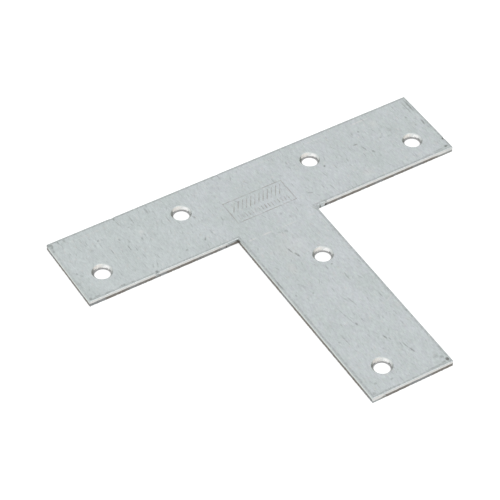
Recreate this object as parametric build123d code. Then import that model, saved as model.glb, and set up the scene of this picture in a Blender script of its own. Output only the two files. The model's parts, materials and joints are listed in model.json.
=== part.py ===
from build123d import *
import os

# A flat T-shaped joining plate, punched in one piece from galvanised steel sheet.
# Screws through its six holes hold a post against a beam, or one timber square to another.
# The plate lies on its underside, Z = 0, with its rolled edges up. The origin is where the
# centre line of the bar, along X, crosses the centre line of the stem, along Y.
# All sizes are in millimetres.

# Outline
SHEET_THICKNESS = 2.0
STRIP_WIDTH = 30.0  # the bar and the stem are equally wide
BAR_LENGTH = 140.0
STEM_REACH = 80.0  # from the bar's front edge to the stem's end
EDGE_ROLL = 0.4  # the die draws the upper edge down to this radius
CORNER_RADIUS = 0.5  # seen from above, at the three corners that are blunt

# Screw holes
SCREW_SHANK = 5.0
SCREW_CLEARANCE = 0.3  # on the diameter
MOUTH_WIDTH = 0.85  # the sheet breaks out round the top of each hole, so it widens by this all round
MOUTH_DEPTH = 1.1  # from the upper face down to where the hole is straight
MOUTH_ROLL = 0.2  # radius of the rim where the mouth meets the upper face
END_MARGIN = 10.0  # from the end of a strip to its last hole
SIDE_MARGIN = 10.0  # from a hole to the nearer side of its strip
BAR_INNER_PITCH = 50.0  # between the two inner holes of the bar
STEM_PITCH = 50.0  # between the two holes of the stem, measured along it

# Sizes that follow from those
half_width = STRIP_WIDTH / 2
half_bar = BAR_LENGTH / 2
stem_end = -half_width - STEM_REACH
hole_radius = (SCREW_SHANK + SCREW_CLEARANCE) / 2
mouth_slope = MOUTH_WIDTH / MOUTH_DEPTH
stagger = half_width - SIDE_MARGIN


def outline():
    """The T seen from above, with three of its outer corners blunt and the others sharp."""
    left_back = (-half_bar, half_width)
    right_front = (half_bar, -half_width)
    stem_right = (half_width, stem_end)
    corners = [
        left_back,
        (-half_bar, -half_width),
        (-half_width, -half_width),
        (-half_width, stem_end),
        stem_right,
        (half_width, -half_width),
        right_front,
        (half_bar, half_width),
    ]
    shape = make_face(Polyline(*corners, close=True))
    blunt = [
        min(shape.vertices(), key=lambda v: abs(v.X - x) + abs(v.Y - y))
        for x, y in (left_back, right_front, stem_right)
    ]
    return fillet(blunt, CORNER_RADIUS)


def hole_places():
    """Centres of the six holes, which step from side to side along each strip."""
    outer = half_bar - END_MARGIN
    inner = BAR_INNER_PITCH / 2
    last = stem_end + END_MARGIN
    return [
        (-outer, -stagger),
        (-inner, stagger),
        (inner, stagger),
        (outer, -stagger),
        (stagger, last + STEM_PITCH),
        (-stagger, last),
    ]


def top_of(body):
    return body.faces().sort_by(Axis.Z)[-1]


def hole_tool():
    """What the punch takes out: a straight hole with a steep mouth, both run past the faces."""
    past = SHEET_THICKNESS
    straight = Pos(0, 0, SHEET_THICKNESS / 2) * Cylinder(hole_radius, SHEET_THICKNESS + 2 * past)
    height = MOUTH_DEPTH + past
    mouth = Cone(hole_radius, hole_radius + height * mouth_slope, height)
    return straight + Pos(0, 0, SHEET_THICKNESS - MOUTH_DEPTH + height / 2) * mouth


def tee_plate():
    """The sheet with its rolled upper edge, then the holes with their rolled upper rims."""
    plate = extrude(outline(), SHEET_THICKNESS)
    plate = fillet(top_of(plate).outer_wire().edges(), EDGE_ROLL)
    for x, y in hole_places():
        plate -= Pos(x, y) * hole_tool()
    rims = [edge for wire in top_of(plate).inner_wires() for edge in wire.edges()]
    plate = fillet(rims, MOUTH_ROLL)
    plate.label = "tee_plate"
    return plate


os.makedirs("parts", exist_ok=True)
export_step(tee_plate(), "parts/tee_plate.step")
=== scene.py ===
import json
import math

import bmesh
import bpy
from mathutils import Color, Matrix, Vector


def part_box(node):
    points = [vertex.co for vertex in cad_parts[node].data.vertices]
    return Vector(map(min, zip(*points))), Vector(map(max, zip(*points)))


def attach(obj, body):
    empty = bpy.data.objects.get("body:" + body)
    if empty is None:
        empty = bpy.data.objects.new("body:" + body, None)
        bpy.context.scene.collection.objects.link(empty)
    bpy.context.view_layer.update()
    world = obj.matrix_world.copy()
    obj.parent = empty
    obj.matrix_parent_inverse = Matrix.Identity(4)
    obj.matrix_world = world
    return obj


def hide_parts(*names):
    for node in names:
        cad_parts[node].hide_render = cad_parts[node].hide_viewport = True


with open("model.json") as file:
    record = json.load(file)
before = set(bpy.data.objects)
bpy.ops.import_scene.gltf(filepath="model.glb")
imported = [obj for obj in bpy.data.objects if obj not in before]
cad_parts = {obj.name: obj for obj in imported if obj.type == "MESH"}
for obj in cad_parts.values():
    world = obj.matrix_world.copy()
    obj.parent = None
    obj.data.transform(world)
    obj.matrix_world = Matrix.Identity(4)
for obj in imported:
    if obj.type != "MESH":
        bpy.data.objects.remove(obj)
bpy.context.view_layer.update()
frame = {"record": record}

bl_info = {
    "name": "Tee Joining Plate",
    "version": (1, 0, 0),
    "blender": (4, 5, 0),
    "location": "View3D > Sidebar > Tee Plate",
    "description": "A flat T-shaped joining plate punched from galvanised steel sheet",
    "category": "Object",
}

MM = 0.001
BODY = "root"
NODE = "tee_plate"
# Directions, as angles from the front, that a hole's wall faces where its mouth is painted pale as
# if lit, and where it gets its painted glint, the brightest streak
PAINTED_LIT_SIDE = math.radians(-31)
PAINTED_GLINT_SIDE = math.radians(-59)
# How close to a hole's circle a point has to be to lie on it
NEAR = 0.01 * MM
LOW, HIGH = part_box(NODE)
HOLES = [mount for mount in frame["record"]["mounts"] if mount["kind"] == "bore"]
HOLE_PLACES = [Vector((mount["pos_m"][0], mount["pos_m"][1], 0)) for mount in HOLES]
HOLE_RADIUS = HOLES[0]["dims"]["r_mm"] * MM
# Height of the straight part of a hole
HOLE_WALL = HOLES[0]["dims"]["length_mm"] * MM

# Dark marks that handling has left on the upper face and its edges. In millimetres: the middle's
# x and y, how wide and how long. Then the turn to the left from the stem's direction, in degrees,
# and the strength: 1 is full, and more widens the dark middle.
DARK_MARKS = (
    # The bar left of the stem
    (-69.6, 14.2, 1.4, 2.2, 30, 1.0),
    (-70.0, 14.6, 1.4, 1.8, 0, 1.2),
    (-68.9, 13.2, 1.2, 3.4, -6, 0.8),
    (-66.3, 13.7, 0.6, 2.6, 0, 0.8),
    (-64.2, 13.6, 0.7, 2.4, 0, 0.75),
    (-69.3, 10.8, 0.8, 1.8, 0, 0.7),
    (-65.3, 6.9, 0.5, 1.5, 0, 0.5),
    (-54.7, 7.7, 0.8, 1.0, 0, 0.85),
    (-54.9, 5.4, 0.45, 3.4, 0, 0.4),
    (-58.6, 4.7, 1.5, 2.4, 0, 0.35),
    (-56.6, 6.1, 1.0, 1.8, 0, 0.3),
    (-45.6, 13.8, 0.9, 1.6, 0, 0.8),
    (-45.4, 11.2, 0.5, 3.4, 6, 0.4),
    (-40.7, 10.7, 0.5, 5.6, 0, 0.65),
    (-43.1, 8.1, 0.9, 0.8, 0, 0.4),
    (-34.5, 11.8, 0.9, 3.3, 0, 0.6),
    (-33.7, 11.0, 0.6, 1.8, 0, 0.4),
    (-32.8, 10.3, 0.6, 1.2, 0, 0.4),
    (-30.2, 4.3, 0.45, 5.0, 0, 0.5),
    (-53.0, 1.1, 0.55, 3.0, 0, 0.65),
    (-47.4, -0.3, 0.55, 3.2, 0, 0.85),
    (-46.1, 2.1, 0.8, 1.3, 0, 0.5),
    (-48.5, 4.6, 0.9, 1.3, 0, 0.45),
    (-41.8, 1.1, 0.8, 2.0, -14, 0.55),
    (-40.2, 2.4, 0.6, 1.6, 10, 0.4),
    (-67.6, -2.0, 0.8, 1.2, 20, 0.65),
    (-66.6, -3.6, 1.0, 1.5, 30, 0.45),
    (-45.0, -5.7, 0.45, 3.2, 0, 0.45),
    (-55.4, -8.7, 0.45, 3.0, 0, 0.45),
    (-47.0, -9.6, 0.45, 2.8, 0, 0.4),
    (-43.2, -11.3, 0.5, 3.4, -16, 0.5),
    (-31.9, -10.8, 1.2, 1.0, 20, 0.55),
    (-24.3, -9.5, 0.7, 1.8, -35, 0.9),
    (-20.9, -7.8, 0.6, 2.4, 0, 0.5),
    (-22.4, 1.2, 0.8, 2.4, 20, 0.6),
    (-20.8, -1.5, 0.6, 0.9, 0, 0.45),
    (-14.9, -4.4, 0.45, 2.4, -14, 0.45),
    (-68.9, -13.8, 1.3, 1.6, 0, 0.85),
    (-66.5, -13.9, 2.8, 1.0, 0, 0.6),
    (-62.6, -14.1, 3.6, 0.7, 0, 0.6),
    (-57.3, -13.9, 3.6, 1.2, 0, 0.7),
    (-54.0, -14.1, 2.6, 0.8, 0, 0.55),
    (-69.0, -6.9, 0.6, 4.2, 0, 0.4),
    (-45.0, -14.2, 1.2, 1.1, 0, 1.1),
    # The bar behind the stem and right of it
    (-5.9, 13.2, 0.5, 3.0, 0, 0.6),
    (17.2, 7.4, 0.6, 2.2, 0, 0.55),
    (16.9, 4.9, 0.6, 2.1, 0, 0.4),
    (18.9, 5.2, 1.6, 0.7, 0, 0.45),
    (27.5, -0.4, 1.0, 0.9, 0, 1.1),
    (33.2, 0.9, 0.7, 0.9, 0, 0.4),
    (35.7, -1.8, 0.45, 2.3, 0, 0.6),
    (42.0, 3.0, 2.0, 0.8, 0, 0.7),
    (43.6, 0.1, 0.7, 2.6, 12, 0.9),
    (45.6, -2.7, 0.7, 2.2, 12, 0.75),
    (46.4, 7.9, 0.8, 1.0, 0, 0.7),
    (43.9, 8.1, 0.9, 2.2, -10, 0.45),
    (46.3, 4.8, 0.5, 2.2, 0, 0.4),
    (51.4, 1.7, 1.1, 1.1, 0, 0.55),
    (54.3, 0.9, 1.5, 1.3, 0, 0.4),
    (56.2, 3.6, 1.8, 3.0, 0, 0.35),
    (53.2, -3.8, 0.6, 2.2, 0, 0.4),
    (64.4, 5.6, 0.9, 1.4, 0, 0.65),
    (65.2, 0.9, 0.9, 1.1, 0, 0.4),
    (63.2, 11.6, 0.5, 4.4, 0, 0.55),
    (67.3, 9.6, 0.55, 7.8, 0, 0.65),
    (68.6, 9.9, 0.8, 8.4, 0, 0.85),
    (68.2, 0.7, 0.9, 3.2, -4, 1.0),
    (68.6, -2.6, 0.5, 2.6, 0, 0.45),
    (69.4, -9.8, 1.3, 1.5, 0, 1.5),
    (68.1, -13.3, 1.7, 1.1, 0, 1.4),
    (64.8, -13.7, 5.8, 0.7, 0, 0.55),
    (59.7, -14.0, 4.6, 0.5, 0, 0.45),
    (30.1, -13.7, 0.55, 1.6, 0, 0.6),
    (56.9, -12.1, 0.5, 2.2, 0, 0.4),
    (16.6, -8.9, 2.2, 0.9, -22, 0.6),
    (21.8, -8.4, 0.5, 2.8, 0, 0.5),
    (24.4, -10.4, 0.5, 3.2, 8, 0.4),
    (19.2, -3.2, 0.45, 2.9, 0, 0.35),
    (15.3, -14.8, 0.7, 0.7, 0, 0.8),
    (16.6, -14.8, 0.7, 0.8, 0, 0.8),
    (18.9, -14.8, 0.9, 0.9, 0, 0.9),
    # Where bar and stem meet, and the stem
    (3.0, -12.3, 0.9, 1.0, 0, 0.45),
    (0.3, -20.0, 1.3, 1.5, 0, 0.5),
    (-2.0, -19.4, 1.6, 0.8, 0, 0.35),
    (-3.4, -28.2, 0.6, 3.2, 8, 0.8),
    (-2.3, -31.0, 0.9, 2.8, 14, 0.95),
    (5.0, -40.2, 0.7, 0.8, 0, 0.8),
    (2.8, -40.8, 0.6, 2.6, 0, 0.5),
    (-8.6, -43.3, 1.0, 4.4, 32, 0.35),
    (-7.0, -48.2, 0.8, 1.0, 0, 0.6),
    (-12.3, -46.4, 0.6, 1.2, 0, 0.6),
    (6.3, -47.2, 0.5, 4.6, -2, 0.6),
    (-0.8, -50.2, 0.5, 3.0, 0, 0.45),
    (1.6, -57.2, 0.6, 5.6, 10, 0.5),
    (-3.6, -61.4, 0.45, 11.0, 9, 0.4),
    (-2.4, -66.4, 0.9, 1.7, 0, 0.7),
    (11.0, -59.6, 0.6, 2.6, 0, 0.7),
    (6.3, -68.2, 0.5, 1.7, 0, 0.4),
    (10.8, -68.6, 0.4, 3.6, 0, 0.4),
    (-9.1, -70.4, 0.5, 7.2, 3, 0.5),
    (-11.4, -70.3, 0.8, 1.1, 0, 0.5),
    (-1.8, -72.4, 0.6, 1.6, 0, 0.45),
    (2.2, -75.6, 0.7, 2.4, 10, 0.85),
    (3.1, -77.0, 0.5, 1.6, 0, 0.6),
    (-0.9, -79.4, 0.8, 1.0, 0, 0.4),
    (5.8, -81.6, 0.5, 3.4, 6, 0.75),
    (6.5, -84.4, 0.65, 3.0, 12, 0.95),
    (10.3, -73.0, 0.5, 2.4, 0, 0.4),
    (-10.9, -90.2, 1.6, 0.9, 0, 0.45),
    (-5.6, -91.2, 1.5, 0.9, 10, 0.5),
    (-1.9, -88.9, 0.7, 0.9, 0, 0.4),
    (11.2, -90.4, 2.4, 1.8, 20, 0.4),
    (12.8, -91.6, 1.4, 1.6, 0, 0.5),
    (9.0, -94.0, 8.5, 0.7, 0, 0.55),
    (13.7, -93.2, 1.4, 1.6, 0, 1.8),
    (12.2, -93.6, 2.2, 0.9, 0, 0.6),
    (-13.6, -93.4, 1.8, 1.5, 0, 0.5),
    (-9.0, -94.1, 7.0, 0.5, 0, 0.45),
    (-14.4, -39.4, 0.7, 6.4, 0, 0.9),
    (-14.3, -49.0, 0.6, 8.0, 0, 0.35),
    (-14.4, -59.4, 0.6, 6.4, 0, 0.5),
    (-14.5, -73.0, 0.5, 7.8, 0, 0.35),
    (14.3, -53.0, 0.5, 3.4, 0, 0.5),
    (14.2, -69.4, 0.7, 1.8, 0, 0.65),
)
# Places that are rubbed lighter, in the same form
LIGHT_MARKS = (
    (49.5, 12.1, 9.0, 0.7, 0, 0.8),
    (9.0, 12.0, 20.0, 0.6, 0, 0.3),
    (31.0, 12.1, 14.0, 0.6, 0, 0.35),
    (-57.0, 12.0, 16.0, 0.6, 0, 0.3),
    (-40.6, 4.1, 2.4, 2.0, 0, 0.5),
    (-20.2, -8.2, 0.6, 1.6, 0, 0.6),
    (-11.2, -17.7, 3.6, 0.7, 0, 0.8),
    (-5.6, -17.7, 4.6, 0.8, 0, 0.8),
    (2.8, -17.8, 8.0, 0.6, 0, 0.5),
    (11.5, -17.8, 5.0, 0.6, 0, 0.35),
    (-7.0, -35.4, 3.2, 6.5, 0, 0.35),
    (-1.5, -20.8, 2.8, 2.4, 0, 0.35),
    (12.4, -62.4, 4.6, 0.7, 22, 0.4),
    (13.6, -66.0, 2.6, 2.8, 0, 0.35),
    (38.5, -10.4, 4.6, 4.2, 0, 0.3),
    (-3.0, -27.0, 14.0, 12.0, 0, 0.2),
    (53.0, 8.8, 3.6, 4.4, 0, 0.3),
)
# Runs of the cut edge where the break is smeared over, and then where the smooth part is dull
SMEARED_EDGES = (
    (16.8, -15.0, 4.6, 2.0, 0, 1.0),
    (-13.2, -95.0, 5.2, 2.0, 0, 0.6),
    (66.8, -15.0, 9.0, 3.0, 0, 0.45),
)
DULL_EDGES = (
    (-17.2, -15.0, 5.6, 3.0, 0, 1.0),
    (16.4, -15.0, 5.6, 3.0, 0, 1.0),
    (-45.1, -15.0, 1.2, 3.0, 0, 0.9),
    (68.4, -14.6, 3.6, 2.0, 0, 0.5),
    (-70.0, 14.2, 1.6, 2.8, 0, 1.0),
)
# Dark teeth in the lower half of the cut edge
EDGE_TEETH = (
    (15.2, -15.0, 0.5, 1.0, 0, 0.6),
    (16.6, -15.0, 0.7, 1.0, 0, 0.8),
    (18.8, -15.0, 0.9, 1.0, 0, 1.0),
    (-19.5, -15.0, 0.6, 1.0, 0, 0.8),
)
# A mark's outline is ragged: the size of its notches, and how far they go across and along it
NOTCH = 0.7 * MM
NOTCH_REACH = (0.2 * MM, 0.6 * MM, 0)
# Nicks in the edges, in millimetres: the middle, how far each reaches, and its push along x, y, z
NICKS = (
    ((-45.1, -14.9), 0.75, (0.0, 0.22, -0.34)),
    ((13.2, -93.3), 0.9, (0.0, 0.0, -0.18)),
    ((69.6, -9.7), 0.8, (-0.12, 0.0, -0.2)),
    ((68.4, -13.4), 0.7, (0.0, 0.0, -0.14)),
    ((-10.4, -94.9), 0.45, (0.0, 0.16, -0.1)),
    ((-45.6, 14.8), 0.7, (0.0, -0.2, -0.16)),
    ((-5.7, 14.8), 0.5, (0.0, -0.12, -0.1)),
    ((-15.2, -15.2), 0.8, (0.05, 0.05, -0.25)),
    ((-14.9, -39.5), 0.6, (0.08, 0.0, -0.14)),
)


def length(name, description, default):
    """A size in metres."""
    return bpy.props.FloatProperty(
        name=name, description=description, default=default, unit="LENGTH", precision=5
    )


def colour(name, description, default):
    """A surface colour, as linear red, green and blue."""
    return bpy.props.FloatVectorProperty(
        name=name, description=description, default=default, subtype="COLOR", size=3, min=0, max=1
    )


def factor(name, description, default, top=1.0):
    """A plain number from 0 up."""
    return bpy.props.FloatProperty(
        name=name, description=description, default=default, subtype="FACTOR", min=0, max=top
    )


def angle(name, description, degrees):
    """An angle, given in degrees."""
    return bpy.props.FloatProperty(
        name=name, description=description, default=math.radians(degrees), subtype="ANGLE"
    )


def count(name, description, default, least):
    """A whole number."""
    return bpy.props.IntProperty(name=name, description=description, default=default, min=least)


class TeePlateSizes(bpy.types.PropertyGroup):
    """Sizes of the sheet and of its punched edges"""

    strip_width: length("Strip width", "Width of the bar and of the stem", 2 * HIGH.y)
    bar_length: length("Bar length", "Length of the bar", HIGH.x - LOW.x)
    stem_end: length("Stem end", "From the middle of the bar to the stem's end", -LOW.y)
    thickness: length("Thickness", "Thickness of the sheet", HIGH.z)
    edge_roll: length("Edge roll", "Radius of the upper edge, drawn down by the die", 0.4 * MM)
    corner: length("Blunt corner", "Radius of the three blunt corners, seen from above", 0.5 * MM)
    column: length("Edge column", "Spacing of the columns of faces along a cut edge", 0.8 * MM)
    fine_cuts: count("Fine cuts", "Cuts made in each column before the edges are worn", 2, 0)
    rim: length("Flat rim", "Width of the flat ring of faces inside a rolled edge", 0.04 * MM)
    hole_flat: length("Hole flat", "Width of the flat ring of faces around a hole", 0.35 * MM)
    mouth: length("Hole mouth", "How much wider a hole is all round at its top", 0.85 * MM)
    mouth_roll: length("Mouth roll", "Radius of the rim where a hole meets the upper face", 0.2 * MM)
    foot_roll: length("Foot roll", "Radius of the rim where the punch entered, underneath", 0.17 * MM)
    hole_sides: count("Hole sides", "Faces around each hole", 96, 12)
    tear: length("Tear", "How deep the broken part of a cut edge is torn", 0.09 * MM)
    tear_grain: length("Tear grain", "Size of the tears in a broken edge", 0.5 * MM)


class TeePlateStamp(bpy.types.PropertyGroup):
    """The plain stamped oblong in the middle of the bar"""

    left: length("Left", "Left side of the oblong", -11.3 * MM)
    right: length("Right", "Right side of the oblong", 11.2 * MM)
    front: length("Front", "Front side of the oblong", -8.8 * MM)
    back: length("Back", "Back side of the oblong", 1.4 * MM)
    margin: length("Margin", "From the oblong to the edge of the fine faces around it", 0.6 * MM)
    line: length("Line", "Width of a stamped line", 0.48 * MM)
    depth: length("Depth", "Depth of the stamped lines", 0.07 * MM)
    hatch_step: length("Hatch step", "Spacing of the slanted strokes in the back row", 1.6 * MM)
    tick_step: length("Tick step", "Spacing of the short strokes in the front row", 1.25 * MM)
    cells: count("Cells", "Cuts across each half of the oblong", 71, 10)


class TeePlateFinish(bpy.types.PropertyGroup):
    """Colours and gloss of the zinc and of the cut edges"""

    zinc: colour("Zinc", "Colour of the zinc on the flat faces", (0.553, 0.602, 0.597))
    violet: colour("Violet", "Colour of the zinc where it looks violet", (0.553, 0.572, 0.605))
    pink: colour("Pink", "Colour of the zinc in its few warm specks", (0.63, 0.6, 0.58))
    contrast: factor("Contrast", "Contrast of the zinc's fine streaks", 1.0, 2)
    dirt: colour("Dirt", "Colour of the dark marks in the zinc", (0.2, 0.21, 0.2))
    pressed: colour("Pressed lines", "Colour in the stamped lines", (0.3, 0.275, 0.25))
    rubbed: colour("Rubbed", "Colour of the zinc where it is rubbed light", (0.72, 0.7, 0.69))
    # The drawn-down edges are paler than the zinc, partly as a painted highlight, and their colour
    # changes from front and back to the sides as a painted reflection tint
    rolled: colour("Rolled edge", "Colour of the drawn-down edges", (0.61, 0.6, 0.582))
    dull: colour("Dull edge", "Colour of the smooth edge where it is dull", (0.42, 0.45, 0.45))
    side_edge_and_reflection: colour("Side edge", "Colour of the smooth edges at the left and right", (0.58, 0.625, 0.6))
    brown: colour("Brown break", "Colour of the broken steel, where it is brown", (0.27, 0.25, 0.225))
    grey: colour("Grey break", "Colour of the broken steel, where it is grey", (0.33, 0.34, 0.345))
    torn: colour("Torn break", "Colour deep in the tears of the broken steel", (0.06, 0.055, 0.05))
    teeth: colour("Teeth", "Colour of the few dark teeth in the broken steel", (0.07, 0.06, 0.05))
    # The pale mouth colours are painted reflections, warm on the left and cool on the right
    mouth_warm_reflection: colour("Warm mouth", "Colour of the hole mouths on their left", (0.84, 0.81, 0.77))
    mouth_cool_reflection: colour("Cool mouth", "Colour of the hole mouths on their right", (0.77, 0.8, 0.79))
    # Painted shade at the two sides of each hole's mouth
    mouth_painted_shade: colour("Dark mouth", "Colour of the hole mouths at their two sides", (0.16, 0.18, 0.17))
    # A painted glint, the brightest streak in the hole mouths
    painted_glint: colour("Gleam", "Colour of the brightest streak in the hole mouths", (0.98, 0.98, 0.97))
    foot: colour("Hole foot", "Colour of the hole walls below their mouths", (0.32, 0.32, 0.32))
    roughness: factor("Roughness", "Roughness of the zinc", 0.42)
    break_height: length("Break height", "Height of the broken part of a cut edge", 1.18 * MM)
    hole_break: length("Hole break", "Height of the broken part of a hole's wall", 0.86 * MM)


class TeePlateStudio(bpy.types.PropertyGroup):
    """The camera, the lamps and the floor"""

    azimuth: angle("Azimuth", "Angle of the camera round the plate", -31.05)
    elevation: angle("Elevation", "Angle of the camera above the floor", 45.72)
    distance: length("Distance", "From the camera to what it aims at", 733.85 * MM)
    aim_x: length("Aim X", "Where the camera aims, along the bar", -13.38 * MM)
    aim_y: length("Aim Y", "Where the camera aims, along the stem", -19.66 * MM)
    lens: bpy.props.FloatProperty(
        name="Lens", description="Focal length on a 36 mm sensor", default=162.22, unit="CAMERA"
    )
    world: factor("World", "Strength of the soft light from above", 0.99, 10)
    horizon: factor("Horizon", "Strength of the low light from the dark side", 0.5, 10)
    bright_side: angle("Bright side", "Direction of the low light, as an angle from the front", -53)
    key: bpy.props.FloatProperty(
        name="Key", description="Power of the large lamp above", default=9.0, unit="POWER"
    )


def toward(side):
    """The level direction at this angle from the front."""
    return math.sin(side), -math.cos(side), 0


def mouth_radius(size):
    """Radius of the circle where a hole's rolled rim meets the upper face."""
    return HOLE_RADIUS + size.mouth + size.mouth_roll


def hole_gap(point):
    """Distance from a point to the axis of the nearest hole, seen from above."""
    return min((point.xy - place.xy).length for place in HOLE_PLACES)


def plate():
    return bpy.data.objects["plate"]


def active(obj):
    """Deselect everything else and make this the active object."""
    bpy.ops.object.select_all(action="DESELECT")
    bpy.context.view_layer.objects.active = obj
    obj.select_set(True)


def edit(obj):
    """Enter edit mode on this object."""
    active(obj)
    bpy.ops.object.mode_set(mode="EDIT")


def leave():
    bpy.ops.object.mode_set(mode="OBJECT")


def middle(item):
    """The middle of a vertex, edge or face."""
    if isinstance(item, bmesh.types.BMVert):
        return item.co
    points = [vert.co for vert in item.verts]
    return sum(points, Vector()) / len(points)


def pick(kind, test):
    """In edit mode, select only the vertices, edges or faces that pass the test, and count them."""
    mesh = bmesh.from_edit_mesh(bpy.context.edit_object.data)
    bpy.ops.mesh.select_mode(type=kind)
    bpy.ops.mesh.select_all(action="DESELECT")
    items = {"VERT": mesh.verts, "EDGE": mesh.edges, "FACE": mesh.faces}[kind]
    picked = [item for item in items if test(item)]
    for item in picked:
        item.select_set(True)
    bmesh.update_edit_mesh(bpy.context.edit_object.data)
    return len(picked)


def on_top(item, size):
    """Whether an edge or face lies in the sheet's upper face."""
    return middle(item).z > 0.999 * size.thickness


def move(x=0.0, y=0.0, z=0.0):
    """In edit mode, move what is selected."""
    bpy.ops.transform.translate(value=(x, y, z))


class TEEPLATE_OT_blank(bpy.types.Operator):
    """Punch the T from the sheet, with its upper edge drawn down"""

    bl_idname = "teeplate.blank"
    bl_label = "Punch Blank"

    # Heights of the rows of faces up the wall, as shares of the thickness
    rows = (0.05, 0.16, 0.28, 0.4, 0.52, 0.66)
    # Faces round a blunt corner and round the rolled edge
    corner_steps = 4
    roll_steps = 6

    def execute(self, context):
        size = context.scene.tee_plate_sizes
        half = size.strip_width / 2
        self.outline(size, half)
        self.thicken(size)
        self.roll(size)
        return {"FINISHED"}

    def outline(self, size, half):
        """A square where bar and stem cross, drawn out to the left, the right and the front."""
        bpy.ops.mesh.primitive_plane_add(size=size.strip_width)
        obj = bpy.context.object
        obj.name = "plate"
        obj.data.name = "plate"
        edit(obj)
        reach = size.bar_length / 2 - half
        arms = (((-1, 0), reach), ((1, 0), reach), ((0, -1), size.stem_end - half))
        near = 0.01 * half
        for (x, y), out in arms:
            side = Vector((x, y, 0)) * half
            pick("EDGE", lambda edge: (middle(edge) - side).length < near)
            bpy.ops.mesh.extrude_edges_move(
                TRANSFORM_OT_translate={"value": (x * out, y * out, 0)}
            )
        bpy.ops.mesh.select_all(action="SELECT")
        bpy.ops.mesh.dissolve_limited(angle_limit=math.radians(1))
        end = size.bar_length / 2
        blunt = [Vector(c) for c in ((-end, half, 0), (end, -half, 0), (half, -size.stem_end, 0))]
        pick("VERT", lambda vert: min((vert.co - corner).length for corner in blunt) < near)
        bpy.ops.mesh.bevel(offset=size.corner, affect="VERTICES", segments=self.corner_steps)
        # Each side of the T is cut into columns of about the same width
        mesh = bmesh.from_edit_mesh(obj.data)
        runs = {round(edge.calc_length() / MM, 2) for edge in mesh.edges}
        for run in sorted(run for run in runs if run * MM > 2 * size.column):
            pick("EDGE", lambda edge: abs(edge.calc_length() / MM - run) < 0.02)
            bpy.ops.mesh.subdivide(number_cuts=int(run * MM / size.column))

    def thicken(self, size):
        """Rows of faces up the wall, closer together in its lower part, which is torn later."""
        bpy.ops.mesh.select_all(action="SELECT")
        height = 0
        for row in (*self.rows, 1):
            rise = row * size.thickness - height
            bpy.ops.mesh.extrude_region_move(TRANSFORM_OT_translate={"value": (0, 0, rise)})
            height += rise

    def roll(self, size):
        """Round the upper edge, and keep a narrow flat ring inside it for clean shading."""
        pick("EDGE", lambda edge: on_top(edge, size))
        bpy.ops.mesh.bevel(
            offset=size.edge_roll, affect="EDGES", segments=self.roll_steps, clamp_overlap=False
        )
        bpy.ops.mesh.select_all(action="SELECT")
        bpy.ops.mesh.remove_doubles(threshold=0.003 * MM)
        large = size.strip_width**2
        pick("FACE", lambda face: on_top(face, size) and face.calc_area() > large)
        bpy.ops.mesh.inset(thickness=size.rim, depth=0)
        leave()


class TEEPLATE_OT_stamp(bpy.types.Operator):
    """Press a plain hatched oblong into the middle of the bar"""

    bl_idname = "teeplate.stamp"
    bl_label = "Press Stamp"

    # Where the two rows of strokes start and end, as shares of the oblong's depth from its front
    ticks = (0.14, 0.3)
    hatch = (0.48, 0.86)
    # How far a stroke of the back row leans to each side, as a share of the strokes' spacing
    slant = 0.75
    # Width of the groove at each of its steps, as shares of the line's width
    steps = (1.0, 0.7, 0.36)

    def execute(self, context):
        size = context.scene.tee_plate_sizes
        stamp = context.scene.tee_plate_stamp
        edit(plate())
        self.patch(size, stamp)
        strokes = self.strokes(stamp)
        mesh = bmesh.from_edit_mesh(plate().data)
        gaps = [
            min(self.gap(vert.co, *stroke) for stroke in strokes)
            if self.pressed(vert.co, size, stamp) else size.strip_width
            for vert in mesh.verts
        ]
        for step in self.steps:
            pick("VERT", lambda vert: gaps[vert.index] < step * stamp.line / 2)
            move(z=-stamp.depth / len(self.steps))
        leave()
        return {"FINISHED"}

    def patch(self, size, stamp):
        """Two panels of fine square faces in the top face, where the oblong goes."""
        left, right = stamp.left - stamp.margin, stamp.right + stamp.margin
        front, back = stamp.front - stamp.margin, stamp.back + stamp.margin
        large = size.strip_width * stamp.margin

        def between(face):
            return on_top(face, size) and left < middle(face).x < right

        for x in (left, (left + right) / 2, right):
            pick("FACE", lambda face: on_top(face, size) and face.calc_area() > large)
            bpy.ops.mesh.bisect(plane_co=(x, 0, size.thickness), plane_no=(1, 0, 0))
        for y in (front, back):
            pick("FACE", lambda face: between(face) and face.calc_area() > large)
            bpy.ops.mesh.bisect(plane_co=(0, y, size.thickness), plane_no=(0, 1, 0))
        panels = pick("FACE", lambda face: between(face) and front < middle(face).y < back)
        if panels != 2:
            raise RuntimeError(f"the stamp's place is {panels} faces and not 2")
        bpy.ops.mesh.subdivide(number_cuts=stamp.cells)

    def strokes(self, stamp):
        """The border, a back row of slanted strokes and a front row of short upright ones."""
        left, right, front, back = stamp.left, stamp.right, stamp.front, stamp.back
        deep = back - front
        found = [
            ((left, front), (right, front)),
            ((left, back), (right, back)),
            ((left, front), (left, back)),
            ((right, front), (right, back)),
        ]
        rows = ((self.ticks, stamp.tick_step, 0), (self.hatch, stamp.hatch_step, self.slant))
        for (start, end), step, slant in rows:
            inside = right - left - 2 * step
            number = int(inside / step)
            lean = slant * step
            for index in range(number):
                x = left + step + (index + 0.5) * inside / number
                found.append(((x - lean, front + start * deep), (x + lean, front + end * deep)))
        return [(Vector(tip), Vector(tail)) for tip, tail in found]

    def pressed(self, place, size, stamp):
        """Whether a point of the mesh is on the stamp's own fine faces."""
        near = stamp.margin * 0.9
        return (
            place.z > size.thickness - 2 * stamp.depth
            and stamp.left - near < place.x < stamp.right + near
            and stamp.front - near < place.y < stamp.back + near
        )

    def gap(self, place, tip, tail):
        """Distance from a point to a stroke, seen from above."""
        run = tail - tip
        share = max(0, min(1, (place.xy - tip).dot(run) / run.length_squared))
        return (place.xy - tip - share * run).length


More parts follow.
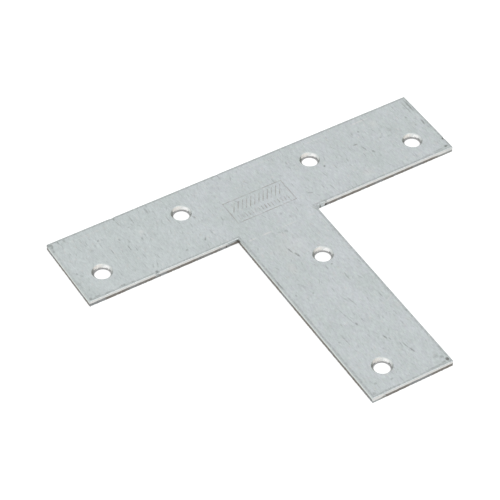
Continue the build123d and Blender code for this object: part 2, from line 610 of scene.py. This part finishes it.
class TEEPLATE_OT_holes(bpy.types.Operator):
    """Cut the screw holes and give each its broken-out mouth and straight foot"""

    bl_idname = "teeplate.holes"
    bl_label = "Punch Holes"

    # Rings of faces round the rolled rim, down the mouth and round the foot
    rim_steps = 6
    mouth_steps = 5
    foot_steps = 4

    def execute(self, context):
        size = context.scene.tee_plate_sizes
        outer = mouth_radius(size) + size.hole_flat
        self.cut(size, outer)
        self.fit(self.collar(size, outer))
        return {"FINISHED"}

    def cut(self, size, outer):
        """Take out a disc round each hole, as wide as the ring of faces that goes back in."""
        for place in HOLE_PLACES:
            bpy.ops.mesh.primitive_cylinder_add(
                vertices=size.hole_sides, radius=outer, depth=4 * size.thickness, location=place
            )
            cutter = bpy.context.object
            active(plate())
            modifier = plate().modifiers.new("disc", "BOOLEAN")
            modifier.operation = "DIFFERENCE"
            modifier.solver = "EXACT"
            modifier.object = cutter
            bpy.ops.object.modifier_apply(modifier=modifier.name)
            bpy.data.objects.remove(cutter)
        edit(plate())
        pick("FACE", lambda face: abs(face.normal.z) < 0.5
             and all(abs(hole_gap(vert.co) - outer) < NEAR for vert in face.verts))
        bpy.ops.mesh.delete(type="FACE")
        self.close(size, outer)
        leave()

    def close(self, size, outer):
        """Slide each point that a cut left between two corners of a disc onto the nearer corner."""
        step = math.tau / size.hole_sides
        strays = {}
        for vert in bmesh.from_edit_mesh(plate().data).verts:
            for place in HOLE_PLACES:
                spoke = vert.co.xy - place.xy
                turn = round(math.atan2(spoke.x, spoke.y) / step) * step
                shift = outer * Vector((math.sin(turn), math.cos(turn))) - spoke
                if abs(spoke.length - outer) < NEAR and shift.length > 0.2 * NEAR:
                    strays[vert.index] = shift
        for index, shift in strays.items():
            pick("VERT", lambda vert: vert.index == index)
            move(*shift)

    def profile(self, size):
        """Radius and height of each ring of the hole's wall, from its rim down to its foot."""
        top, bore, roll = size.thickness, HOLE_RADIUS, size.mouth_roll
        slope = math.atan2(size.mouth, top - HOLE_WALL)
        sweep = math.pi / 2 - slope
        centre = bore + size.mouth + roll * math.tan(sweep / 2)
        rings = []
        for step in range(self.rim_steps + 1):
            turn = sweep * step / self.rim_steps
            rings.append((centre - roll * math.sin(turn), top - roll * (1 - math.cos(turn))))
        radius, height = rings[-1]
        for step in range(1, self.mouth_steps + 1):
            share = step / self.mouth_steps
            rings.append((radius + (bore - radius) * share, height + (HOLE_WALL - height) * share))
        foot = size.foot_roll
        for step in range(self.foot_steps + 1):
            turn = math.pi / 2 * step / self.foot_steps
            rings.append((bore + foot * (1 - math.cos(turn)), foot * (1 - math.sin(turn))))
        return rings

    def collar(self, size, outer):
        """The faces of one hole: in from a circle on top, down the wall and out again underneath."""
        top = size.thickness
        profile = [*self.profile(size), (outer, 0)]
        bpy.ops.mesh.primitive_circle_add(
            vertices=size.hole_sides, radius=outer, location=(0, 0, top)
        )
        obj = bpy.context.object
        obj.name = "hole_collar"
        active(obj)
        bpy.ops.object.transform_apply(location=True, rotation=False, scale=False)
        bpy.ops.object.mode_set(mode="EDIT")
        bpy.ops.mesh.select_all(action="SELECT")
        radius, height = outer, top
        for next_radius, next_height in profile:
            bpy.ops.mesh.extrude_edges_move(
                TRANSFORM_OT_translate={"value": (0, 0, next_height - height)}
            )
            grow = next_radius / radius
            bpy.ops.transform.resize(
                value=(grow, grow, 1), center_override=(0, 0, next_height)
            )
            radius, height = next_radius, next_height
        leave()
        return obj

    def fit(self, collar):
        """Put a copy of the ring into each hole and join them all into the plate."""
        copies = []
        for place in HOLE_PLACES:
            copy = collar.copy()
            copy.data = collar.data.copy()
            bpy.context.collection.objects.link(copy)
            copy.location = place
            copies.append(copy)
        bpy.data.objects.remove(collar)
        bpy.ops.object.select_all(action="DESELECT")
        for copy in copies:
            copy.select_set(True)
        bpy.context.view_layer.objects.active = copies[0]
        bpy.ops.object.transform_apply(location=True, rotation=False, scale=False)
        plate().select_set(True)
        bpy.context.view_layer.objects.active = plate()
        bpy.ops.object.join()
        bpy.ops.object.mode_set(mode="EDIT")
        bpy.ops.mesh.select_all(action="SELECT")
        bpy.ops.mesh.remove_doubles(threshold=0.005 * MM)
        bpy.ops.mesh.normals_make_consistent(inside=False)
        leave()


class TEEPLATE_OT_wear(bpy.types.Operator):
    """Tear the broken walls and nick the edges where the plate was knocked"""

    bl_idname = "teeplate.wear"
    bl_label = "Break and Nick Edges"

    # How far each ring of a nick reaches and how much of the push it takes, as shares
    rings = ((1.0, 0.3), (0.7, 0.3), (0.4, 0.4))
    # Edges that turn by less than this are shaded smooth
    smooth_turn = math.radians(35)
    # The tears start this far above the underside
    clear_foot = 0.02 * MM

    def execute(self, context):
        size = context.scene.tee_plate_sizes
        finish = context.scene.tee_plate_finish
        edit(plate())
        self.columns(size)
        self.nick()
        leave()
        self.tear(size, finish)
        bpy.ops.object.shade_smooth_by_angle(angle=self.smooth_turn)
        # The large flat faces keep their own normals
        edit(plate())
        pick("FACE", lambda face: abs(face.normal.z) > 0.9999 and face.calc_area() > size.column**2)
        bpy.ops.mesh.faces_shade_flat()
        leave()
        return {"FINISHED"}

    def columns(self, size):
        """Divide the columns of faces along the outline, away from the holes."""
        clear = mouth_radius(size) + size.hole_flat + size.column
        pick("EDGE", lambda edge: 0.25 * size.column < edge.calc_length() < 1.05 * size.column
             and abs(edge.verts[0].co.z - edge.verts[1].co.z) < 0.001 * MM
             and hole_gap(middle(edge)) > clear)
        bpy.ops.mesh.subdivide(number_cuts=size.fine_cuts)

    def nick(self):
        """Push the fine faces of the upper edge in and down at each nick, more at its middle."""
        for (x, y), reach, push in NICKS:
            place = Vector((x, y)) * MM
            for wide, share in self.rings:
                pick("VERT", lambda vert: vert.co.z > 0.5 * HIGH.z
                     and (vert.co.xy - place).length < wide * reach * MM
                     and max(face.calc_area() for face in vert.link_faces) < MM * MM)
                move(*(share * value * MM for value in push))

    def tear(self, size, finish):
        """Push the broken lower part of all cut walls, the holes' too, in by a fine, uneven amount."""
        obj = plate()
        group = obj.vertex_groups.new(name="broken")
        broken = [
            vert.index for vert in obj.data.vertices
            if self.clear_foot < vert.co.z < finish.break_height and abs(vert.normal.z) < 0.5
        ]
        group.add(broken, 1, "REPLACE")
        texture = bpy.data.textures.new("tears", "CLOUDS")
        texture.noise_scale = size.tear_grain
        texture.noise_depth = 2
        modifier = obj.modifiers.new("tears", "DISPLACE")
        modifier.texture = texture
        modifier.texture_coords = "LOCAL"
        modifier.vertex_group = group.name
        modifier.strength = size.tear
        modifier.mid_level = 1.0
        active(obj)
        bpy.ops.object.modifier_apply(modifier=modifier.name)
        obj.vertex_groups.clear()


class NodeTable:
    """Adds nodes to a tree and links their sockets. Its patterns are read at its place."""

    def __init__(self, tree):
        self.tree = tree
        self.place = None

    def feed(self, socket, value):
        """Link a socket to another one, or give it a plain value."""
        if isinstance(value, bpy.types.NodeSocket):
            self.tree.links.new(value, socket)
        else:
            socket.default_value = value

    def add(self, kind, inputs=None, **settings):
        node = self.tree.nodes.new(kind)
        for name, value in settings.items():
            setattr(node, name, value)
        for key, value in (inputs or {}).items():
            self.feed(node.inputs[key], value)
        return node

    def math(self, operation, *values):
        return self.add("ShaderNodeMath", dict(enumerate(values)), operation=operation).outputs[0]

    def times(self, product, *others):
        """The product of two or more values."""
        for other in others:
            product = self.math("MULTIPLY", product, other)
        return product

    def most(self, largest, *others):
        """The largest of two or more values."""
        for other in others:
            largest = self.math("MAXIMUM", largest, other)
        return largest

    def vector(self, operation, first, second=(0, 0, 0)):
        node = self.add("ShaderNodeVectorMath", {0: first, 1: second}, operation=operation)
        return node.outputs["Value" if operation in ("LENGTH", "DOT_PRODUCT") else "Vector"]

    def parts(self, vector):
        """The X, Y and Z of a vector."""
        return self.add("ShaderNodeSeparateXYZ", {0: vector}).outputs

    def mix(self, share, first, second, **settings):
        """Two colours mixed; a plain colour is given as red, green and blue."""
        first, second = (
            (*end, 1) if isinstance(end, (tuple, Color)) else end for end in (first, second)
        )
        inputs = {0: share, 6: first, 7: second}
        return self.add("ShaderNodeMix", inputs, data_type="RGBA", **settings).outputs[2]

    def ramp(self, value, start, end, low=0.0, high=1.0):
        """A value eased from low at start to high at end."""
        return self.add("ShaderNodeMapRange", {
            0: value, 1: start, 2: end, 3: low, 4: high,
        }, interpolation_type="SMOOTHSTEP", clamp=False).outputs[0]

    def noise(self, grain, detail=3.0, roughness=0.6):
        """Soft noise from 0 to 1; grain is the size of its spots along x, y and z in millimetres."""
        spots = self.vector("MULTIPLY", self.place, tuple(1 / (side * MM) for side in grain))
        return self.add("ShaderNodeTexNoise", {
            "Vector": spots, "Scale": 1.0, "Detail": detail, "Roughness": roughness,
        }).outputs[0]

    def show(self, shader, kind="Material"):
        """Make a shader the output of its material or world."""
        self.add(f"ShaderNodeOutput{kind}", {"Surface": shader.outputs[0]})

    def group(self, tree, **inputs):
        """The outputs of a node group, placed here with these inputs."""
        return self.add("ShaderNodeGroup", {"Place": self.place, **inputs}, node_tree=tree).outputs


def new_group(name, inputs, outputs):
    """A shader node group that reads a place, with its table and its inner and outer sockets."""
    tree = bpy.data.node_groups.new(name, "ShaderNodeTree")
    for kind, sockets in (("INPUT", {"Place": "Vector", **inputs}), ("OUTPUT", outputs)):
        for socket_name, socket_type in sockets.items():
            tree.interface.new_socket(socket_name, in_out=kind, socket_type="NodeSocket" + socket_type)
    table = NodeTable(tree)
    given = table.add("NodeGroupInput").outputs
    table.place = given["Place"]
    return tree, table, given, table.add("NodeGroupOutput").inputs


def edge_distance(size):
    """Group: how far a place lies inside the T's outline, seen from above."""
    tree, table, _, result = new_group("edge_distance", {}, {"Distance": "Float"})
    parts = table.parts(table.place)
    across = table.math("ABSOLUTE", parts["X"])
    half = size.strip_width / 2

    def within(half_x, middle_y, half_y):
        """How far a place lies inside one strip."""
        away = table.math("SUBTRACT", parts["Y"], middle_y)
        return table.math(
            "MINIMUM",
            table.math("SUBTRACT", half_x, across),
            table.math("SUBTRACT", half_y, table.math("ABSOLUTE", away)),
        )

    bar = within(size.bar_length / 2, 0.0, half)
    stem = within(half, (half - size.stem_end) / 2, (half + size.stem_end) / 2)
    table.feed(result["Distance"], table.most(bar, stem))
    return tree


def zinc_grain():
    """Group: the fine streaks, the tints and the soft clouds of the zinc coat."""
    tree, table, given, result = new_group("zinc_grain", {
        "Zinc": "Color", "Violet": "Color", "Pink": "Color", "Contrast": "Float",
    }, {"Color": "Color", "Height": "Float"})
    cloud = table.noise((9.0, 15.0, 9.0), 2.0, 0.5)
    streak = table.noise((0.33, 1.3, 0.33), roughness=0.62)
    blot = table.noise((0.95, 3.6, 0.95))

    # The violet is weaker towards the bar's left end
    tinted = table.math("MULTIPLY_ADD", cloud, 0.5, table.noise((1.1, 2.6, 1.1)))
    calm = table.ramp(table.parts(table.place)["X"], -40.0 * MM, -5.0 * MM, 0.45, 1.0)
    violet = table.times(table.ramp(tinted, 0.6, 0.9, 0.0, 0.6), calm)
    tone = table.mix(violet, given["Zinc"], given["Violet"])
    warm = table.ramp(table.noise((0.9, 1.6, 0.9), 2.0, 0.5), 0.58, 0.74, 0.0, 0.35)
    tone = table.mix(warm, tone, given["Pink"])

    # Each noise is 0.5 on average, so the level is about half the sum of their shares
    shares = ((streak, 0.52), (blot, 0.32), (cloud, 0.21))
    level = 0.0
    for layer, share in shares:
        level = table.math("MULTIPLY_ADD", layer, share, level)
    average = sum(share for _, share in shares) / 2
    swing = table.times(table.math("SUBTRACT", level, average), given["Contrast"])
    bright = table.math("ADD", swing, 1.0)
    grey = table.add("ShaderNodeCombineColor", {0: bright, 1: bright, 2: bright}).outputs[0]
    table.feed(result["Color"], table.mix(1.0, tone, grey, blend_type="MULTIPLY"))
    table.feed(result["Height"], level)
    return tree


def dashes():
    """Group: sparse short strokes, most of them along the stem's direction."""
    tree, table, given, result = new_group("dashes", {
        "Spacing": "Vector", "Stroke": "Vector", "Share": "Float",
    }, {"Mask": "Float"})
    spot = table.vector("DIVIDE", table.place, given["Spacing"])
    cells = table.add("ShaderNodeTexVoronoi", {
        "Vector": spot, "Scale": 1.0, "Randomness": 1.0,
    }, voronoi_dimensions="2D").outputs
    offset = table.vector("SUBTRACT", spot, cells["Position"])
    offset = table.vector("MULTIPLY", offset, given["Spacing"])
    chance = table.add("ShaderNodeSeparateColor", {0: cells["Color"]}).outputs
    lean = table.times(table.math("SUBTRACT", chance[1], 0.5), 0.9)
    turned = table.add("ShaderNodeVectorRotate", {
        "Vector": offset, "Angle": lean,
    }, rotation_type="Z_AXIS").outputs[0]
    flat = table.vector("MULTIPLY", turned, (1, 1, 0))
    reach = table.vector("LENGTH", table.vector("DIVIDE", flat, given["Stroke"]))
    kept = table.math("LESS_THAN", chance[0], given["Share"])
    dark = table.math("MULTIPLY_ADD", chance[2], 0.7, 0.3)
    table.feed(result["Mask"], table.times(table.ramp(reach, 1.0, 0.3), kept, dark))
    return tree


def handling_marks(name, marks, depth, batch=15):
    """Group: the marks of one list, each a soft-edged spot with a ragged outline.

    The shader can hold only a few spots at a time, so they come in batches. Each batch's noise is
    seeded with the marks so far, which keeps the batches one after another.
    """
    tree, table, _, result = new_group(name, {}, {"Mask": "Float"})
    total = 0.0
    for start in range(0, len(marks), batch):
        wobble = table.add("ShaderNodeTexNoise", {
            "Vector": table.place, "W": table.math("ADD", total, start),
            "Scale": 1 / NOTCH, "Detail": 2.0,
        }, noise_dimensions="4D").outputs["Color"]
        ragged = table.vector("SUBTRACT", wobble, (0.5, 0.5, 0.5))
        ragged = table.vector("MULTIPLY", ragged, NOTCH_REACH)
        place = table.vector("ADD", table.place, ragged)
        for x, y, wide, long, turn, strength in marks[start:start + batch]:
            spot = table.add("ShaderNodeMapping", {
                "Vector": place,
                "Location": (x * MM, y * MM, HIGH.z),
                "Rotation": (0, 0, math.radians(turn)),
                "Scale": (wide / 2 * MM, long / 2 * MM, depth),
            }, vector_type="TEXTURE").outputs[0]
            mask = table.ramp(table.vector("LENGTH", spot), 1.2, 0.3, 0, strength)
            total = table.most(mask, total)
    table.feed(result["Mask"], total)
    return tree


def new_material(name):
    """A material that has no nodes yet."""
    material = bpy.data.materials.new(name)
    material.use_nodes = True
    material.node_tree.nodes.clear()
    return material


class Surface(NodeTable):
    """The nodes of one of the plate's materials, and the patterns that the materials share."""

    def __init__(self, name, groups):
        self.material = new_material(name)
        super().__init__(self.material.node_tree)
        self.groups = groups
        where = self.add("ShaderNodeTexCoord").outputs
        self.place = where["Object"]
        self.height = self.parts(self.place)["Z"]
        self.normal = where["Normal"]

    def marks(self, name):
        """Where the marks of one list are, from 0 to their strength."""
        return self.group(self.groups[name])["Mask"]

    def strokes(self, spacing, stroke, share):
        """Random strokes; spacing and stroke are given along x and y in millimetres."""
        spacing, stroke = ((x * MM, y * MM, 1.0) for x, y in (spacing, stroke))
        return self.group(self.groups["dashes"], Spacing=spacing, Stroke=stroke, Share=share)["Mask"]

    def facing(self, side, normal=None):
        """How far a wall faces the side at this angle from the front, from -1 to 1."""
        return self.vector("DOT_PRODUCT", normal or self.normal, toward(side))

    def smooth_edge_and_reflection(self, finish):
        """The colour of the smooth edge metal, tinted by the way it faces as a painted reflection: pale
        to the front and back, greener at the sides.
        """
        across = self.math("ABSOLUTE", self.parts(self.normal)["X"])
        return self.mix(self.ramp(across, 0.4, 0.8), finish.rolled, finish.side_edge_and_reflection)

    def below_break(self, wave, height, swing, shifts, blur):
        """Where a wall is broken: all below a wavy line, which masks shift up or down."""
        line = self.math("MULTIPLY_ADD", wave, swing, height - swing / 2)
        for mask, shift in shifts:
            line = self.math("MULTIPLY_ADD", mask, shift, line)
        return self.ramp(self.math("SUBTRACT", line, self.height), -blur, blur)

    def dull_band(self, inside):
        """The dull, uneven band just inside the outline, fainter at the bar's left end."""
        along = self.parts(self.place)["X"]
        return self.times(
            self.ramp(inside, 1.15 * MM, 0.7 * MM),
            self.ramp(inside, 0.15 * MM, 0.45 * MM),
            self.ramp(self.noise((0.9, 0.9, 0.9)), 0.3, 0.7, 0.1, 0.42),
            self.ramp(along, LOW.x + 0.7 * MM, LOW.x + 1.7 * MM, 0.4, 1.0),
        )

    def metal(self, tone, rough, grain, strength, deep):
        """The material, as bare metal of this colour and roughness with its grain raised a little."""
        bump = self.add("ShaderNodeBump", {"Strength": strength, "Distance": deep, "Height": grain})
        shader = self.add("ShaderNodeBsdfPrincipled", {
            "Base Color": tone, "Metallic": 1.0, "Roughness": rough, "Normal": bump.outputs[0],
        })
        self.show(shader)
        return self.material


class TEEPLATE_OT_zinc(bpy.types.Operator):
    """Give the plate its zinc and its cut steel, and let it stand for the solid"""

    bl_idname = "teeplate.zinc"
    bl_label = "Coat with Zinc"

    # The lists of marks, each with how far down from the upper face its marks reach
    lists = {
        "dark_marks": (DARK_MARKS, 1.0 * MM),
        "light_marks": (LIGHT_MARKS, 1.0 * MM),
        "smeared_edges": (SMEARED_EDGES, 50.0 * MM),
        "dull_edges": (DULL_EDGES, 50.0 * MM),
        "edge_teeth": (EDGE_TEETH, 50.0 * MM),
    }
    # How much of the zinc's colour the strokes, the marks and the rubbed places take
    fine_share = 0.3
    bold_share = 0.4
    mark_share = 0.75
    rubbed_share = 0.7
    # How far up the normals point in the outer wall, and down and up in a hole's wall
    wall_rise = 0.4
    hole_rise = (-0.5, 0.985)

    def execute(self, context):
        finish = context.scene.tee_plate_finish
        size = context.scene.tee_plate_sizes
        self.groups = {"edge": edge_distance(size), "grain": zinc_grain(), "dashes": dashes()}
        for name, (marks, depth) in self.lists.items():
            self.groups[name] = handling_marks(name, marks, depth)
        obj = plate()
        obj.data.materials.clear()
        for make in (self.zinc, self.cut_edge, self.hole_wall):
            obj.data.materials.append(make(finish, size))
        edit(obj)
        wall = size.thickness - size.edge_roll
        self.coat(1, lambda face: abs(face.normal.z) < self.wall_rise and middle(face).z < wall)
        low, high = self.hole_rise
        self.coat(2, lambda face: low < face.normal.z < high
                  and hole_gap(middle(face)) < mouth_radius(size))
        leave()
        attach(obj, BODY)
        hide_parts(NODE)
        return {"FINISHED"}

    def coat(self, index, test):
        """Give the faces that pass the test the material at this index."""
        pick("FACE", test)
        bpy.context.edit_object.active_material_index = index
        bpy.ops.object.material_slot_assign()

    def zinc(self, finish, size):
        """The two flat faces and the drawn-down edge."""
        table = Surface("galvanised_zinc", self.groups)
        top = size.thickness
        upper = table.math("GREATER_THAN", table.height, top / 2)
        inside = table.group(self.groups["edge"])["Distance"]
        grain = table.group(
            self.groups["grain"], Zinc=(*finish.zinc, 1), Violet=(*finish.violet, 1),
            Pink=(*finish.pink, 1), Contrast=finish.contrast,
        )
        rubbed = table.times(table.marks("light_marks"), self.rubbed_share)
        tone = table.mix(rubbed, grain["Color"], finish.rubbed)

        # Strokes all over, marks that fine specks break up, and the band along the edges
        specks = table.ramp(table.noise((0.3, 0.55, 0.3), 2.0), 0.36, 0.58, 0.45, 1.05)
        placed = table.times(table.marks("dark_marks"), specks)
        dark = table.most(
            table.times(table.strokes((1.5, 3.2), (0.15, 1.1), 0.55), self.fine_share),
            table.times(table.strokes((4.2, 5.6), (0.2, 1.6), 0.4), self.bold_share),
            table.times(placed, self.mark_share),
            table.dull_band(inside),
        )
        tone = table.mix(dark, tone, finish.dirt)

        # The stamped lines, with dirt in them here and there, and not the edge, which is as low
        pressed = table.times(
            table.ramp(table.height, top - 0.012 * MM, top - 0.05 * MM),
            table.ramp(inside, 1.0 * MM, 1.4 * MM),
            upper,
        )
        dirty = table.ramp(table.noise((2.4, 2.4, 2.4)), 0.35, 0.65, 0.15, 0.62)
        tone = table.mix(table.times(pressed, dirty), tone, finish.pressed)

        # The drawn-down edge, bright where no mark covers it: paler zinc that is partly a painted
        # highlight, with a painted reflection tint
        clean = table.ramp(placed, 0.7, 0.2)
        rolled = table.times(table.ramp(inside, 0.18 * MM, 0.06 * MM), upper, clean)
        edge = table.mix(table.marks("dull_edges"), table.smooth_edge_and_reflection(finish), finish.dull)
        tone = table.mix(rolled, tone, edge)
        rough = table.math("MULTIPLY_ADD", grain["Height"], 0.2, finish.roughness - 0.1)
        rough = table.math("MULTIPLY_ADD", dark, 0.15, rough)
        return table.metal(tone, rough, grain["Height"], 0.25, 0.02 * MM)

    def cut_edge(self, finish, size):
        """The outer wall: smooth from the shear above, with a painted reflection tint, broken and dark
        below.
        """
        table = Surface("cut_edge", self.groups)
        smeared = table.marks("smeared_edges")
        left = table.ramp(table.facing(math.radians(-90)), 0.5, 0.9)
        shifts = ((smeared, -0.75 * MM), (left, 0.12 * MM))
        wave = table.noise((2.2, 2.2, 50.0))
        broken = table.below_break(wave, finish.break_height, 0.5 * MM, shifts, 0.05 * MM)

        tears = table.noise((0.16, 0.16, 0.9), roughness=0.7)
        patch = table.ramp(table.noise((7.0, 7.0, 50.0), 2.0, 0.5), 0.48, 0.6)
        steel = table.mix(patch, finish.brown, finish.grey)
        steel = table.mix(table.ramp(tears, 0.25, 0.75, 0.0, 0.5), steel, finish.torn)
        steel = table.mix(smeared, steel, finish.dull)
        # The smooth part above the break takes the edge colour, with its painted reflection tint
        rub = table.ramp(table.noise((1.2, 1.2, 0.25)), 0.35, 0.75, 0.0, 0.6)
        smooth = table.mix(rub, table.smooth_edge_and_reflection(finish), finish.zinc)
        smooth = table.mix(table.marks("dull_edges"), smooth, finish.dull)
        tone = table.mix(broken, smooth, steel)

        low = table.ramp(table.height, 1.35 * MM, 1.05 * MM)
        tone = table.mix(table.times(table.marks("edge_teeth"), low), tone, finish.teeth)
        tone = table.mix(table.times(table.marks("dark_marks"), self.mark_share), tone, finish.dirt)
        rough = table.math("MULTIPLY_ADD", broken, 0.25, 0.35)
        return table.metal(tone, rough, tears, 0.4, 0.03 * MM)

    def hole_wall(self, finish, size):
        """The holes: wide mouths painted pale as if lit, painted shade at two sides, a dull straight
        foot.
        """
        table = Surface("hole_wall", self.groups)
        top = size.thickness
        lit_facing = table.facing(PAINTED_LIT_SIDE)
        across = table.facing(PAINTED_LIT_SIDE + math.pi / 2)

        # The wall painted pale as if lit, warm and cool as painted reflections, with its one brightest
        # streak
        streaks = table.noise((0.3, 0.3, 1.6))
        pale = table.mix(table.ramp(across, -0.2, 0.4), finish.mouth_cool_reflection, finish.mouth_warm_reflection)
        pale = table.mix(table.ramp(streaks, 0.35, 0.75, 0.0, 0.3), pale, finish.zinc)
        # A painted glint high in the mouth, on the wall that faces its side
        painted_glint = table.times(
            table.ramp(table.facing(PAINTED_GLINT_SIDE), 0.73, 0.785),
            table.ramp(table.height, top - 0.25 * MM, top - 0.5 * MM),
        )
        pale = table.mix(painted_glint, pale, finish.painted_glint)

        # The two sides painted dark, as painted shade
        start = table.math("MULTIPLY_ADD", across, -0.16, lit_facing)
        side = table.times(
            table.ramp(start, 0.36, 0.04),
            table.ramp(lit_facing, -0.95, -0.6),
            table.ramp(across, -0.4, 0.4, 0.5, 0.8),
        )
        tone = table.mix(side, pale, finish.mouth_painted_shade)

        # The rolled rim is plain zinc, apart from the same two sides, which keep their painted shade
        level = table.vector("NORMALIZE", table.vector("MULTIPLY", table.normal, (1, 1, 0)))
        turned = table.facing(PAINTED_LIT_SIDE, level)
        shaded = table.times(table.ramp(turned, 0.2, -0.2), table.ramp(turned, -0.97, -0.75))
        rim = table.times(
            table.ramp(table.height, top - 0.2 * MM, top - 0.06 * MM),
            table.ramp(shaded, 0.0, 1.0, 1.0, 0.15),
        )
        tone = table.mix(rim, tone, finish.zinc)

        # The dark foot reaches higher on the walls turned from the painted lit side, adding painted
        # shade there
        shifts = ((table.ramp(lit_facing, 0.72, 0.5), 0.3 * MM),)
        wave = table.noise((1.4, 1.4, 9.0), 2.0, 0.5)
        broken = table.below_break(wave, finish.hole_break, 0.4 * MM, shifts, 0.07 * MM)
        tone = table.mix(broken, tone, finish.foot)
        return table.metal(tone, 0.4, streaks, 0.3, 0.02 * MM)


class TEEPLATE_OT_stage(bpy.types.Operator):
    """Lay the pale floor, hang the lamps and aim the camera"""

    bl_idname = "teeplate.stage"
    bl_label = "Set Stage"

    # The floor: its width, how far it lies below the plate, its grey, and how much it glows where
    # the camera sees it or metal mirrors it
    floor_width = 6.0
    floor_drop = 0.02 * MM
    floor_grey = 0.55
    floor_glow = 0.65
    # How high the low light reaches, and where it turns from its dark to its bright side
    low_reach = 0.45
    low_turn = (-0.2, 0.5)
    # The large lamp above, and the camera's sensor in millimetres and its nearest view
    lamp_place = (0.5, -0.9, 2.2)
    lamp_width = 1.4
    sensor_width = 36
    nearest = 0.01

    def execute(self, context):
        studio = context.scene.tee_plate_studio
        self.floor()
        self.sky(studio)
        self.lamp(studio)
        self.camera(studio)
        context.scene.view_settings.view_transform = "Standard"
        return {"FINISHED"}

    def floor(self):
        """A wide pale card a hair below the plate, seen only from above."""
        bpy.ops.mesh.primitive_grid_add(
            x_subdivisions=4, y_subdivisions=4, size=self.floor_width, location=(0, 0, -self.floor_drop)
        )
        obj = bpy.context.object
        obj.name = "floor"
        material = new_material("floor_white")
        table = NodeTable(material.node_tree)
        seen = table.add("ShaderNodeLightPath").outputs
        straight = table.most(*(seen[f"Is {ray} Ray"] for ray in ("Camera", "Glossy", "Transmission")))
        card = table.add("ShaderNodeBsdfDiffuse", {"Color": (*[self.floor_grey] * 3, 1)})
        glow = table.add("ShaderNodeEmission", {"Strength": table.times(straight, self.floor_glow)})
        both = table.add("ShaderNodeAddShader", {0: card.outputs[0], 1: glow.outputs[0]})
        below = table.add("ShaderNodeNewGeometry").outputs["Backfacing"]
        clear = table.add("ShaderNodeBsdfTransparent")
        table.show(table.add("ShaderNodeMixShader", {
            0: below, 1: both.outputs[0], 2: clear.outputs[0],
        }))
        obj.data.materials.append(material)

    def sky(self, studio):
        """Even light from above, and low light that is stronger from one side."""
        world = bpy.data.worlds.new("studio")
        world.use_nodes = True
        world.node_tree.nodes.clear()
        table = NodeTable(world.node_tree)
        way = table.add("ShaderNodeTexCoord").outputs["Generated"]
        front = table.vector("DOT_PRODUCT", way, toward(studio.bright_side))
        low = table.ramp(front, *self.low_turn, studio.horizon, 1.0)
        level = table.ramp(table.parts(way)["Z"], 0.0, self.low_reach, low, studio.world)
        sky = table.add("ShaderNodeBackground", {"Color": (1, 1, 1, 1), "Strength": level})
        table.show(sky, "World")
        bpy.context.scene.world = world

    def lamp(self, studio):
        """A large square lamp above, turned to the middle of the bar."""
        bpy.ops.object.light_add(type="AREA", location=self.lamp_place)
        lamp = bpy.context.object
        lamp.name = "key"
        lamp.data.shape = "SQUARE"
        lamp.data.size = self.lamp_width
        lamp.data.energy = studio.key
        lamp.rotation_euler = (-lamp.location).to_track_quat("-Z", "Y").to_euler()

    def camera(self, studio):
        """A long lens, above and to the front left."""
        rise = studio.elevation
        x, y = toward(studio.azimuth)[:2]
        back = Vector((x * math.cos(rise), y * math.cos(rise), math.sin(rise)))
        aim = Vector((studio.aim_x, studio.aim_y, 0))
        bpy.ops.object.camera_add(location=aim + back * studio.distance)
        camera = bpy.context.object
        camera.name = "camera"
        camera.rotation_euler = back.to_track_quat("Z", "Y").to_euler()
        camera.data.lens = studio.lens
        camera.data.sensor_width = self.sensor_width
        camera.data.clip_start = self.nearest
        bpy.context.scene.camera = camera


class TEEPLATE_PT_panel(bpy.types.Panel):
    """Lists the plate's sizes and steps"""

    bl_idname = "TEEPLATE_PT_panel"
    bl_label = "Tee Joining Plate"
    bl_space_type = "VIEW_3D"
    bl_region_type = "UI"
    bl_category = "Tee Plate"

    def draw(self, context):
        for name in GROUPS:
            box = self.layout.box()
            group = getattr(context.scene, name)
            for prop in group.bl_rna.properties:
                if prop.identifier not in ("rna_type", "name"):
                    box.prop(group, prop.identifier)
        for step in STEPS:
            self.layout.operator(step.bl_idname)


GROUPS = {
    "tee_plate_sizes": TeePlateSizes,
    "tee_plate_stamp": TeePlateStamp,
    "tee_plate_finish": TeePlateFinish,
    "tee_plate_studio": TeePlateStudio,
}
STEPS = (
    TEEPLATE_OT_blank,
    TEEPLATE_OT_stamp,
    TEEPLATE_OT_holes,
    TEEPLATE_OT_wear,
    TEEPLATE_OT_zinc,
    TEEPLATE_OT_stage,
)


def register():
    for name, group in GROUPS.items():
        bpy.utils.register_class(group)
        setattr(bpy.types.Scene, name, bpy.props.PointerProperty(type=group))
    for step in STEPS:
        bpy.utils.register_class(step)
    bpy.utils.register_class(TEEPLATE_PT_panel)


def unregister():
    bpy.utils.unregister_class(TEEPLATE_PT_panel)
    for step in reversed(STEPS):
        bpy.utils.unregister_class(step)
    for name, group in reversed(list(GROUPS.items())):
        delattr(bpy.types.Scene, name)
        bpy.utils.unregister_class(group)


def main():
    register()
    bpy.ops.teeplate.blank()
    bpy.ops.teeplate.stamp()
    bpy.ops.teeplate.holes()
    bpy.ops.teeplate.wear()
    bpy.ops.teeplate.zinc()
    bpy.ops.teeplate.stage()


if __name__ == "__main__":
    main()
